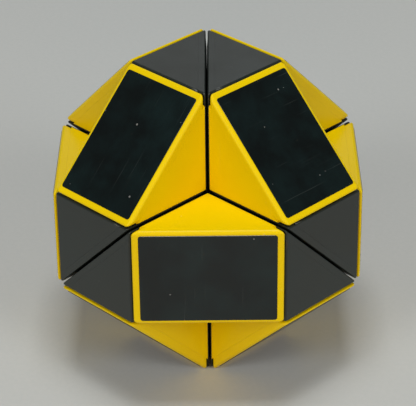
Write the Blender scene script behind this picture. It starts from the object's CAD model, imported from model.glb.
"""Twisty snake puzzle folded into its ball: rounded moulded wedges, stickers and the screws inside."""

import math

import bmesh
import bpy
import numpy as np
from mathutils import Matrix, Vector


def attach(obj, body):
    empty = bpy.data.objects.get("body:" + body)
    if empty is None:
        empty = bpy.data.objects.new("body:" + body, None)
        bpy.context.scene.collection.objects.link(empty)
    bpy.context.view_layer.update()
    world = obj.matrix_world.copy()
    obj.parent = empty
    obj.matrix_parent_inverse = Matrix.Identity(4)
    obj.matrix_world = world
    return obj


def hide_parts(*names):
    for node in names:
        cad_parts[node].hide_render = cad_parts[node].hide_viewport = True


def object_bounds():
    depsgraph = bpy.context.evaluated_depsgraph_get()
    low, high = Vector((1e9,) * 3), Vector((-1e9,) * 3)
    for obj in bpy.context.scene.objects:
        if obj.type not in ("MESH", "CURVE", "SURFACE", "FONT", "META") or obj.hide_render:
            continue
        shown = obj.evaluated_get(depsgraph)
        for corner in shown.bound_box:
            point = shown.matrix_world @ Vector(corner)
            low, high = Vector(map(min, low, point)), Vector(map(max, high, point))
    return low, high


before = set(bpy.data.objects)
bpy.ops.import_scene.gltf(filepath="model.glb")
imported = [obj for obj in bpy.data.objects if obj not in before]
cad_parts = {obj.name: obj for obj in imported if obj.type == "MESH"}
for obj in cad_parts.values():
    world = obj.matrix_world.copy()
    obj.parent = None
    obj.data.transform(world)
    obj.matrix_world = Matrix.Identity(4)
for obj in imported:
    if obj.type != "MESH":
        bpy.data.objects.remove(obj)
cad_low, cad_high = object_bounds()

MM = 0.001
WEDGES = 24
PITCH = 22 * MM
BALL_CENTRE = (np.array(cad_low) + np.array(cad_high)) / 2

# The wedge's sizes, which are the CAD part's own, except that the black joint faces stand a little
# further out than the CAD's, still 0.31 mm clear of the yellow ones.
FACE_IN = 0.25 * MM
BLACK_FACE_IN = 0.06 * MM
SIDE_IN = 0.15 * MM
HALF_WIDTH = PITCH / 2 - SIDE_IN
SIDE_WALL = 1.5 * MM
INNER_FACE = FACE_IN + 1.8 * MM
ROOT2 = math.sqrt(2)
SLOPE_SUM = PITCH - 0.2 * MM * ROOT2
TILE_SUM = SLOPE_SUM + 0.55 * MM * ROOT2
PARTING_SUM = SLOPE_SUM - 1.5 * MM * ROOT2
RAIL_SUM = PARTING_SUM - 1.2 * MM * ROOT2
RAIL_WALL = 1.2 * MM
RAIL_CLEAR = 0.1 * MM
# Hair-thin gap between a shell's rim and its cover.
SEAM = 0.02 * MM

# The joint's sizes, all of them radii but for the boss's top.
BORE = 2.58 * MM
BUSH_SEAT = 2.52 * MM
SCREW_HOLE = 1.32 * MM
BOSS = 2.8 * MM
BOSS_TOP = INNER_FACE + 2.2 * MM

# How far each moulded edge is rounded, as set off from the sharp edge, and in how many steps.
YELLOW_CASE_EDGE = 0.28 * MM
YELLOW_TILE_EDGE = 0.8 * MM
YELLOW_TILE_CORNER = 1.05 * MM
YELLOW_TIP = 0.94 * MM
BLACK_EDGE = 0.45 * MM
BLACK_SLOPE_EDGE = 0.3 * MM
BLACK_TIP = 0.8 * MM
EDGE_STEPS = 5
SHARP_ANGLE = math.radians(30)

# The shallow crown on the middle of a black cover: its height, how far in from the cover's border it
# starts, and the width over which it rises.
CROWN = 0.17 * MM
CROWN_START = 1.2 * MM
CROWN_MARGIN = 2 * MM
CROWN_ROWS = 6

# The sticker on each yellow tile.
STICKER_HALF_LENGTH = 13.76 * MM
STICKER_HALF_WIDTH = 9.9 * MM
STICKER_CORNER = 0.55 * MM
CORNER_POINTS = 7
# The film's rounded edge in section: distance in from its outline, and height above the tile.
STICKER_SECTION = np.array([(0, -0.02), (0, 0.06), (0.03, 0.105), (0.08, 0.12), (0.3, 0.12)]) * MM


# ---------------------------------------------------------------- camera

def facing_ball(azimuth, elevation, distance, roll=0.0):
    """Place of a camera or lamp that looks at the ball's centre: its back axis is the ray from the centre at
    the azimuth and elevation, its other two axes are level and upright before the roll, all in degrees."""
    az, el, turn = math.radians(azimuth), math.radians(elevation), math.radians(roll)
    back = np.array([math.sin(az) * math.cos(el), -math.cos(az) * math.cos(el), math.sin(el)])
    right = np.array([math.cos(az), math.sin(az), 0.0])
    up = np.cross(back, right)
    place = np.eye(4)
    place[:3, 0] = math.cos(turn) * right + math.sin(turn) * up
    place[:3, 1] = -math.sin(turn) * right + math.cos(turn) * up
    place[:3, 2] = back
    place[:3, 3] = BALL_CENTRE + distance * back
    return Matrix(place.tolist())


def make_camera():
    """Long lens less than half a metre from the ball, looking down on one of its stickered faces."""
    lens = bpy.data.cameras.new("studio_camera")
    lens.sensor_width = 36
    lens.lens = 170.95
    lens.shift_x = -0.00072
    lens.shift_y = -0.00793
    camera = bpy.data.objects.new("studio_camera", lens)
    camera.matrix_world = facing_ball(45.35, 29.89, 0.4199, -0.71)
    bpy.context.scene.collection.objects.link(camera)
    bpy.context.scene.camera = camera


make_camera()


# ---------------------------------------------------------------- the folded chain

# Quarter turn of the chain at each joint, which repeats every eight joints.
TURNS = (-1, 1, 1, -1, 1, -1, -1, 1)


def folded_chain():
    """Places of the wedges: each step is the cross product of the two before it, times its quarter turn's
    sign, and each entry point is half a pitch along both of its wedge's steps from the one before."""
    steps = [np.array([1.0, 0.0, 0.0]), np.array([0.0, 1.0, 0.0])]
    while len(steps) <= WEDGES:
        steps.append(TURNS[(len(steps) - 2) % len(TURNS)] * np.cross(steps[-2], steps[-1]))
    entry = BALL_CENTRE + np.array([PITCH / 2, -PITCH, 0.0])
    places = []
    for step_in, step_out in zip(steps[:-1], steps[1:]):
        x = step_in
        z = -step_out
        axes = np.stack([x, np.cross(z, x), z])
        places.append((axes, entry - PITCH / 2 * z))
        entry = entry + PITCH / 2 * (step_in + step_out)
    return places


PLACES = folded_chain()


def is_black(i):
    return i % 2 == 1


def wedge_name(i):
    return f"wedge_{i + 1:02d}"


# ---------------------------------------------------------------- surfaces

# Two points nearer than this are one point.
WELD = 1e-6


def patch(rows, closed=False):
    """Quads between neighbouring rows of a grid of points, wrapped round where the rows are closed."""
    grid = np.asarray(rows, float)
    if closed:
        grid = np.concatenate([grid, grid[:, :1]], axis=1)
    high, wide = grid.shape[:2]
    index = np.arange(high * wide).reshape(high, wide)
    quads = np.stack([index[:-1, :-1], index[:-1, 1:], index[1:, 1:], index[1:, :-1]], axis=-1)
    return grid.reshape(-1, 3), quads.reshape(-1, 4)


def lid(loop):
    """One flat face on a closed loop of points."""
    return np.asarray(loop, float), np.arange(len(loop))[None, :]


def leg_wall(depth, top, half, leg, lines=9):
    """Grid on one square face of the wedge, at a depth from its corner plane: s runs from the corner edge up
    to the slanted line x + z = top, and y from -half to half."""
    s, y = np.meshgrid(np.linspace(depth, top - depth, lines), np.linspace(-half, half, lines), indexing="ij")
    d = np.full_like(s, depth)
    return np.stack([d, y, s] if leg == 0 else [s, y, d], axis=-1)


def border(grid):
    """The closed loop of points round a grid's edge."""
    return np.concatenate([grid[0, :-1], grid[:-1, -1], grid[-1, :0:-1], grid[:0:-1, 0]])


def joint_ring(loop, leg, radius, depth):
    """Circle about the joint's axis at a depth, whose points lie in the directions of the loop's points."""
    axis = 0 if leg == 0 else 2
    centre = np.array([0.0, 0.0, PITCH / 2]) if leg == 0 else np.array([PITCH / 2, 0.0, 0.0])
    spoke = loop - centre
    spoke[:, axis] = 0
    ring = centre + radius * spoke / np.linalg.norm(spoke, axis=1, keepdims=True)
    ring[:, axis] = depth
    return ring


def merged_mesh(name, patches, weigh):
    """Welds patches into closed shells with outward faces, in the wedge's own frame. Each edge gets the
    rounding weight that weigh() works out from its two ends. An edge without one stays sharp if it is
    steeper than the sharp angle."""
    points = np.concatenate([p for p, f in patches])
    base = np.cumsum([0] + [len(p) for p, f in patches[:-1]])
    faces = [face for start, (p, f) in zip(base, patches) for face in (f + start).tolist()]
    mesh = bpy.data.meshes.new(name)
    mesh.from_pydata(points.tolist(), [], faces)
    mesh.shade_smooth()
    work = bmesh.new()
    work.from_mesh(mesh)
    bmesh.ops.remove_doubles(work, verts=work.verts, dist=WELD)
    bmesh.ops.recalc_face_normals(work, faces=work.faces)
    work.to_mesh(mesh)
    work.free()
    co = np.zeros(len(mesh.vertices) * 3)
    mesh.vertices.foreach_get("co", co)
    ends = np.zeros(len(mesh.edges) * 2, int)
    mesh.edges.foreach_get("vertices", ends)
    pair = co.reshape(-1, 3)[ends.reshape(-1, 2)]
    weight = weigh(pair).astype(np.float32)
    weights = mesh.attributes.new("bevel_weight_edge", "FLOAT", "EDGE")
    weights.data.foreach_set("value", weight)
    mesh.set_sharp_from_angle(angle=SHARP_ANGLE)
    sharp = np.zeros(len(mesh.edges), bool)
    mesh.attributes["sharp_edge"].data.foreach_get("value", sharp)
    mesh.attributes["sharp_edge"].data.foreach_set("value", sharp & (weight == 0))
    return mesh


def on_plane(pair, axis, value):
    """True for edges with both ends on a plane."""
    return np.all(np.abs(pair[:, :, axis] - value) < 2 * WELD, axis=1)


def on_slant(pair, total):
    """True for edges with both ends on the slanted plane x + z = total."""
    return np.all(np.abs(pair[:, :, 0] + pair[:, :, 2] - total) < 2 * WELD, axis=1)


def on_side(pair):
    """True for edges on either triangular side of a wedge."""
    return on_plane(pair, 1, HALF_WIDTH) | on_plane(pair, 1, -HALF_WIDTH)


def on_leg(pair, face):
    """True for edges on either square face of a wedge."""
    return on_plane(pair, 0, face) | on_plane(pair, 2, face)


def finish_piece(mesh, i, material, node=None, width=None):
    """Puts the mesh at wedge i's place, rounds its weighted edges and hands the piece to its body."""
    axes, corner = PLACES[i]
    co = np.zeros(len(mesh.vertices) * 3)
    mesh.vertices.foreach_get("co", co)
    placed = co.reshape(-1, 3) @ axes + corner
    mesh.vertices.foreach_set("co", placed.ravel())
    mesh.materials.append(material)
    mesh.update()
    piece = bpy.data.objects.new(mesh.name, mesh)
    bpy.context.scene.collection.objects.link(piece)
    if width:
        rounding = piece.modifiers.new("rounded_edges", "BEVEL")
        rounding.limit_method = "WEIGHT"
        rounding.offset_type = "OFFSET"
        rounding.width = width
        rounding.segments = EDGE_STEPS
        rounding.use_clamp_overlap = False
        rounding.harden_normals = True
    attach(piece, wedge_name(i))
    if node:
        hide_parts(node)


# ---------------------------------------------------------------- pieces

def shell_mesh(i):
    """Tray with two square walls and two triangular ends. Each square wall is a set of rings about its
    joint: the wall's outer border, the bore's or the boss's circles, then the inner border."""
    top = PARTING_SUM - SEAM
    inside = HALF_WIDTH - SIDE_WALL
    has_joint = (i > 0, i < WEDGES - 1)
    edge, face = (BLACK_EDGE, BLACK_FACE_IN) if is_black(i) else (YELLOW_CASE_EDGE, FACE_IN)
    outer = [leg_wall(face, top, HALF_WIDTH, leg) for leg in (0, 1)]
    inner = [leg_wall(INNER_FACE, top, inside, leg) for leg in (0, 1)]
    patches = []
    for leg in (0, 1):
        if not has_joint[leg]:
            patches += [patch(outer[leg]), patch(inner[leg])]
            continue
        loop = border(outer[leg])
        if is_black(i):
            profile = [
                (BUSH_SEAT, face), (BUSH_SEAT, INNER_FACE), (SCREW_HOLE, INNER_FACE),
                (SCREW_HOLE, BOSS_TOP), (BOSS, BOSS_TOP), (BOSS, INNER_FACE),
            ]
        else:
            profile = [(BORE, face), (BORE, INNER_FACE)]
        rings = [joint_ring(loop, leg, radius, depth) for radius, depth in profile]
        patches.append(patch([loop, *rings, border(inner[leg])], closed=True))
    for walls in (outer, inner):
        for side in (0, -1):
            patches.append(patch([walls[0][:, side], walls[1][:, side]]))
    rims = [np.concatenate([walls[0][-1], walls[1][-1][::-1]]) for walls in (outer, inner)]
    patches.append(patch(rims, closed=True))

    def weigh(pair):
        corner = on_plane(pair, 0, face) & on_plane(pair, 2, face)
        return np.where((on_leg(pair, face) & on_side(pair)) | corner, 1.0, 0.0)

    return merged_mesh(f"{wedge_name(i)}_case", patches, weigh), edge


def slab(low_sum, high_sum, depth, low_y, high_y):
    """Closed bar with a trapezoid section between two slanted lines, carried from low_y to high_y."""
    outline = np.array([
        [depth, high_sum - depth], [depth, low_sum - depth],
        [low_sum - depth, depth], [high_sum - depth, depth],
    ])
    loops = [np.insert(outline, 1, y, axis=1) for y in (low_y, high_y)]
    return [patch(loops), lid(loops[0]), lid(loops[1])]


def on_slope(along, y, height):
    """Points at a height above the corner edge, square to the sloping face, and along and across it."""
    return np.stack([(height + along) / ROOT2, y, (height - along) / ROOT2], axis=-1)


def sloping_face(total, depth, crowned):
    """The slab's sloping face: flat, or a rectangle's loop carried in from its border and lifted by a crown
    that rises as a smooth step over the margin."""
    height = total / ROOT2
    half_length = height - ROOT2 * depth
    ends, sides = np.array([[1, 1, -1, -1], [-1, 1, 1, -1]])
    if not crowned:
        return [lid(on_slope(ends * half_length, sides * HALF_WIDTH, height))]
    inset = np.array([0.0, *np.linspace(CROWN_START, CROWN_START + CROWN_MARGIN, CROWN_ROWS)])[:, None]
    lift = np.clip((inset - CROWN_START) / CROWN_MARGIN, 0, 1)
    rise = height + CROWN * lift * lift * (3 - 2 * lift)
    rows = on_slope(ends * (half_length - inset), sides * (HALF_WIDTH - inset), rise)
    return [patch(rows, closed=True), lid(rows[-1])]


def rail_lid(total, depth, low_y, high_y):
    """The flat top of a rail, on the slanted line x + z = total."""
    far = total - depth
    return lid([[depth, low_y, far], [depth, high_y, far], [far, high_y, depth], [far, low_y, depth]])


def cover_mesh(i):
    """Slab on the wedge's long sloping side, with two rails under it that plug into the shell."""
    if is_black(i):
        top, face = SLOPE_SUM, BLACK_FACE_IN
        corner, slope_edge, tip = BLACK_EDGE, BLACK_SLOPE_EDGE, BLACK_TIP
    else:
        top, face = TILE_SUM, FACE_IN
        corner, slope_edge, tip = YELLOW_TILE_CORNER, YELLOW_TILE_EDGE, YELLOW_TIP
    widest = max(tip, corner)
    rail_out = HALF_WIDTH - SIDE_WALL - RAIL_CLEAR
    rail_in = rail_out - RAIL_WALL
    rail_top = PARTING_SUM + RAIL_CLEAR
    rail_face = INNER_FACE + RAIL_CLEAR
    patches = slab(PARTING_SUM, top, face, -HALF_WIDTH, HALF_WIDTH)
    patches += sloping_face(top, face, is_black(i))
    for low, high in ((rail_in, rail_out), (-rail_out, -rail_in)):
        patches += slab(RAIL_SUM, rail_top, rail_face, low, high)
        patches.append(rail_lid(rail_top, rail_face, low, high))

    def weigh(pair):
        sides, legs, slope = on_side(pair), on_leg(pair, face), on_slant(pair, top)
        return np.select([slope & legs, sides & slope, sides & legs], [tip, slope_edge, corner], 0.0) / widest

    return merged_mesh(f"{wedge_name(i)}_lid", patches, weigh), widest


def sticker_mesh(i):
    """Film with rounded corners: a rounded rectangle's loop carried up the film's edge, over it and in to
    the middle, in the plane of the tile."""
    turn = np.linspace(0, math.pi / 2, CORNER_POINTS)
    a, b, r = STICKER_HALF_LENGTH, STICKER_HALF_WIDTH, STICKER_CORNER
    middles = ((a - r, b - r), (-a + r, b - r), (-a + r, -b + r), (a - r, -b + r))
    angle = np.concatenate([turn + k * math.pi / 2 for k in range(4)])
    centre = np.repeat(np.array(middles), len(turn), axis=0)
    direction = np.stack([np.cos(angle), np.sin(angle)], axis=-1)
    rows = []
    for inset, rise in STICKER_SECTION:
        across = centre + (r - inset) * direction
        rows.append(on_slope(across[:, 0], across[:, 1], TILE_SUM / ROOT2 + rise))
    patches = [patch(rows, closed=True), lid(rows[0]), lid(rows[-1])]
    return merged_mesh(f"{wedge_name(i)}_sticker", patches, lambda pair: np.zeros(len(pair)))


# ---------------------------------------------------------------- materials

# A scratch is where the surface cuts a thin flat disc, so it is straight whichever way the surface faces.
# The discs lie in three directions, each a round cell stretched wide along two of its axes.
DISC_TURNS = ((0.4, 0.9, 0.3), (1.3, 0.2, 1.1), (0.8, 1.7, 2.3))
DISC_STRETCH = (1.0, 0.012, 0.012)
DISC_SIZE = 0.17
# Largest speck of dust as a share of its cell, and the share of the cells that have none.
DUST_SIZE = 0.13
DUST_FREE = 0.74
# Each mark's spacing, in marks to the metre, where a material doesn't choose its own.
MARK_SPACING = {"Scratch count": 2200.0, "Grain size": 2600.0, "Cloud size": 70.0, "Dust size": 700.0}


def wire(tree, source, target):
    tree.links.new(source, target)


def math_node(tree, kind, *values):
    """A Math node whose inputs are sockets or plain numbers."""
    node = tree.nodes.new("ShaderNodeMath")
    node.operation = kind
    for slot, value in zip(node.inputs, values):
        if isinstance(value, (int, float)):
            slot.default_value = value
        else:
            wire(tree, value, slot)
    return node.outputs[0]


def wear_group():
    """Marks that handled plastic shows, from one position: straight hair scratches, fine grain, slow clouds
    and specks of dust."""
    tree = bpy.data.node_groups.new("handling_marks", "ShaderNodeTree")
    for socket, default in MARK_SPACING.items():
        entry = tree.interface.new_socket(socket, in_out="INPUT", socket_type="NodeSocketFloat")
        entry.default_value = default
    tree.interface.new_socket("Position", in_out="INPUT", socket_type="NodeSocketVector")
    for socket in ("Scratches", "Grain", "Clouds", "Dust"):
        tree.interface.new_socket(socket, in_out="OUTPUT", socket_type="NodeSocketFloat")
    into = tree.nodes.new("NodeGroupInput").outputs
    out = tree.nodes.new("NodeGroupOutput").inputs

    def noise(size, detail):
        node = tree.nodes.new("ShaderNodeTexNoise")
        node.inputs["Detail"].default_value = detail
        node.inputs["Roughness"].default_value = 0.6
        wire(tree, into["Position"], node.inputs["Vector"])
        wire(tree, into[size], node.inputs["Scale"])
        return node.outputs["Fac"]

    def cells(position, size):
        """Scattered cells: the distance to the nearest one's middle, and three random numbers of its own."""
        node = tree.nodes.new("ShaderNodeTexVoronoi")
        wire(tree, position, node.inputs["Vector"])
        wire(tree, into[size], node.inputs["Scale"])
        draw = tree.nodes.new("ShaderNodeSeparateColor")
        wire(tree, node.outputs["Color"], draw.inputs["Color"])
        return node.outputs["Distance"], draw.outputs

    lines = []
    for turn in DISC_TURNS:
        mapping = tree.nodes.new("ShaderNodeMapping")
        mapping.inputs["Rotation"].default_value = turn
        mapping.inputs["Scale"].default_value = DISC_STRETCH
        wire(tree, into["Position"], mapping.inputs["Vector"])
        distance, draw = cells(mapping.outputs["Vector"], "Scratch count")
        size = math_node(tree, "MULTIPLY", draw["Blue"], DISC_SIZE)
        depth = math_node(tree, "SUBTRACT", 1.0, math_node(tree, "DIVIDE", distance, size))
        lines.append(math_node(tree, "MAXIMUM", depth, 0.0))
    two_ways = math_node(tree, "MAXIMUM", lines[1], lines[2])
    wire(tree, math_node(tree, "MAXIMUM", lines[0], two_ways), out["Scratches"])
    wire(tree, noise("Grain size", 3.0), out["Grain"])
    wire(tree, noise("Cloud size", 4.0), out["Clouds"])
    distance, draw = cells(into["Position"], "Dust size")
    inside = math_node(tree, "LESS_THAN", distance, math_node(tree, "MULTIPLY", draw["Green"], DUST_SIZE))
    chosen = math_node(tree, "GREATER_THAN", draw["Red"], DUST_FREE)
    wire(tree, math_node(tree, "MULTIPLY", inside, chosen), out["Dust"])
    return tree


MARKS = wear_group()


class Finish:
    """A material under construction: its tree, its Principled shader and the marks group's outputs."""

    def __init__(self, name, spacing):
        self.material = bpy.data.materials.new(name)
        self.material.use_nodes = True
        self.tree = self.material.node_tree
        self.shader = self.tree.nodes["Principled BSDF"]
        place = self.tree.nodes.new("ShaderNodeTexCoord")
        wear = self.tree.nodes.new("ShaderNodeGroup")
        wear.node_tree = MARKS
        wire(self.tree, place.outputs["Object"], wear.inputs["Position"])
        for label, value in spacing.items():
            wear.inputs[label].default_value = value
        self.marks = wear.outputs

    def blend(self, amount, low, high):
        """Mix of two colours, each a socket or a colour, by an amount socket."""
        mix = self.tree.nodes.new("ShaderNodeMix")
        mix.data_type = "RGBA"
        wire(self.tree, amount, mix.inputs["Factor"])
        for slot, value in ((mix.inputs[6], low), (mix.inputs[7], high)):
            if isinstance(value, tuple):
                slot.default_value = (*value, 1.0)
            else:
                wire(self.tree, value, slot)
        return mix.outputs[2]

    def spread(self, mark, low, high, from_low=0.3, from_high=0.7):
        """One of the marks, moved from its usual range to another."""
        node = self.tree.nodes.new("ShaderNodeMapRange")
        wire(self.tree, self.marks[mark], node.inputs["Value"])
        limits = {"From Min": from_low, "From Max": from_high, "To Min": low, "To Max": high}
        for label, number in limits.items():
            node.inputs[label].default_value = number
        return node.outputs["Result"]

    def share(self, mark, amount):
        """Scratches or dust, which run from 0 to 1, weakened to an amount."""
        return self.spread(mark, 0.0, amount, 0.0, 1.0)

    def colour(self, tone):
        wire(self.tree, tone, self.shader.inputs["Base Color"])

    def roughness(self, low, high, scratched):
        """Roughness that drifts from low to high with the clouds and rises on scratches."""
        drift = self.spread("Clouds", low, high)
        rough = math_node(self.tree, "ADD", drift, self.share("Scratches", scratched))
        wire(self.tree, rough, self.shader.inputs["Roughness"])

    def relief(self, mark, scratched, height):
        """Bump from one mark, with the scratches cut into it."""
        total = math_node(self.tree, "ADD", self.marks[mark], self.share("Scratches", scratched))
        self.bump(total, height)

    def bump(self, source, height):
        node = self.tree.nodes.new("ShaderNodeBump")
        node.inputs["Strength"].default_value = 1.0
        node.inputs["Distance"].default_value = height
        wire(self.tree, source, node.inputs["Height"])
        wire(self.tree, node.outputs["Normal"], self.shader.inputs["Normal"])


def moulded_plastic(name, base, deep, dust, rough, grain, scratched, specular):
    """Moulded plastic: colour clouds, scratches and dust specks of one pale colour, roughness that drifts,
    and a bump from grain and scratches."""
    finish = Finish(name, {})
    tone = finish.blend(finish.spread("Clouds", 0.0, 1.0), base, deep)
    tone = finish.blend(finish.share("Scratches", 0.1), tone, dust)
    tone = finish.blend(finish.share("Dust", 0.3), tone, dust)
    finish.colour(tone)
    finish.roughness(rough - 0.05, rough + 0.06, scratched)
    finish.relief("Grain", -0.5, grain)
    finish.shader.inputs["Specular IOR Level"].default_value = specular
    return finish.material


def glossy_film():
    """Sticker film: near-black with a slow blue-green bloom, dust, hair scratches and a slight ripple."""
    finish = Finish("sticker_film", {"Cloud size": 110.0, "Dust size": 520.0, "Scratch count": 2600.0})
    bloom = finish.spread("Clouds", 0.0, 1.0, 0.4, 0.7)
    tone = finish.blend(bloom, (0.001, 0.0032, 0.003), (0.003, 0.011, 0.011))
    tone = finish.blend(finish.share("Scratches", 0.15), tone, (0.16, 0.19, 0.18))
    tone = finish.blend(finish.share("Dust", 0.6), tone, (0.3, 0.31, 0.3))
    finish.colour(tone)
    finish.roughness(0.12, 0.24, 0.15)
    finish.relief("Clouds", -0.04, 0.06 * MM)
    return finish.material


def plated_steel():
    """Zinc-plated steel for the screws, bushes, springs and washers."""
    finish = Finish("plated_steel", {"Grain size": 4200.0})
    finish.colour(finish.blend(finish.spread("Clouds", 0.0, 1.0), (0.62, 0.63, 0.64), (0.5, 0.51, 0.53)))
    wire(finish.tree, finish.spread("Grain", 0.22, 0.38), finish.shader.inputs["Roughness"])
    finish.shader.inputs["Metallic"].default_value = 1.0
    finish.bump(finish.marks["Grain"], 0.015 * MM)
    return finish.material


YELLOW = moulded_plastic(
    "yellow_moulded_plastic", base=(0.86, 0.635, 0.0), deep=(0.84, 0.60, 0.0), dust=(0.92, 0.78, 0.25),
    rough=0.34, grain=0.012 * MM, scratched=0.12, specular=0.16,
)
BLACK = moulded_plastic(
    "black_moulded_plastic", base=(0.011, 0.018, 0.015), deep=(0.017, 0.021, 0.017), dust=(0.14, 0.14, 0.13),
    rough=0.38, grain=0.02 * MM, scratched=0.1, specular=0.5,
)
FILM = glossy_film()
STEEL = plated_steel()


# ---------------------------------------------------------------- making the snake

def make_snake():
    """Case and lid for each wedge, a sticker on the yellow ones and plated screws in the black ones."""
    for i in range(WEDGES):
        name = wedge_name(i)
        plastic, slot = (BLACK, "black_plastic") if is_black(i) else (YELLOW, "yellow_plastic")
        case, edge = shell_mesh(i)
        finish_piece(case, i, plastic, f"{name}_shell", edge)
        cover, edge = cover_mesh(i)
        finish_piece(cover, i, plastic, f"{name}_cover", edge)
        if is_black(i):
            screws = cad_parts[f"{name}_screw_set"].data
            screws.materials.clear()
            screws.materials.append(STEEL)
        else:
            finish_piece(sticker_mesh(i), i, FILM)


make_snake()


# ---------------------------------------------------------------- studio

FLOOR_REACH = 4.0


def studio_floor():
    """Flat pale card under the ball, at the lowest point of the part, with a fine grain in its colour."""
    x, y = np.meshgrid(*[np.linspace(-FLOOR_REACH, FLOOR_REACH, 5)] * 2)
    points, faces = patch(np.stack([x, y, np.full_like(x, cad_low[2])], axis=-1))
    mesh = bpy.data.meshes.new("studio_floor")
    mesh.from_pydata(points.tolist(), [], faces.tolist())
    material = bpy.data.materials.new("pale_card")
    material.use_nodes = True
    tree = material.node_tree
    shader = tree.nodes["Principled BSDF"]
    place = tree.nodes.new("ShaderNodeTexCoord")
    grain = tree.nodes.new("ShaderNodeTexNoise")
    grain.inputs["Scale"].default_value = 900.0
    grain.inputs["Detail"].default_value = 3.0
    wire(tree, place.outputs["Object"], grain.inputs["Vector"])
    mix = tree.nodes.new("ShaderNodeMix")
    mix.data_type = "RGBA"
    mix.inputs[6].default_value = (0.55, 0.57, 0.55, 1)
    mix.inputs[7].default_value = (0.6, 0.61, 0.59, 1)
    wire(tree, grain.outputs["Fac"], mix.inputs["Factor"])
    wire(tree, mix.outputs[2], shader.inputs["Base Color"])
    shader.inputs["Roughness"].default_value = 0.8
    shader.inputs["Specular IOR Level"].default_value = 0.12
    mesh.materials.append(material)
    floor = bpy.data.objects.new("studio_floor", mesh)
    bpy.context.scene.collection.objects.link(floor)


def soft_light(name, azimuth, elevation, distance, size, power, tint=(1.0, 1.0, 1.0)):
    """Square soft lamp that faces the ball from an azimuth and elevation in degrees."""
    lamp = bpy.data.lights.new(name, "AREA")
    lamp.shape = "SQUARE"
    lamp.size = size
    lamp.energy = power
    lamp.color = tint
    light = bpy.data.objects.new(name, lamp)
    light.visible_camera = False
    light.matrix_world = facing_ball(azimuth, elevation, distance)
    bpy.context.scene.collection.objects.link(light)


def studio_world():
    """Faint cool light from all round."""
    world = bpy.data.worlds.new("studio_air")
    world.use_nodes = True
    backdrop = world.node_tree.nodes["Background"]
    backdrop.inputs["Color"].default_value = (0.93, 0.98, 1.0, 1.0)
    backdrop.inputs["Strength"].default_value = 0.12
    bpy.context.scene.world = world


studio_floor()
soft_light("overhead_softbox", 45, 85, 1.2, 0.4, 6.2)
soft_light("front_left_softbox", 5, 31, 1.2, 0.4, 3.9)
soft_light("front_right_softbox", 85, 31, 1.2, 0.4, 3.7)
soft_light("low_warm_fill", 45, 8, 0.9, 0.4, 1.5, (1.0, 0.55, 0.2))
soft_light("backdrop_glow", 225, 30, 1.4, 0.7, 0.9)
studio_world()
bpy.context.scene.view_settings.view_transform = "Standard"
bpy.context.scene.view_settings.look = "None"
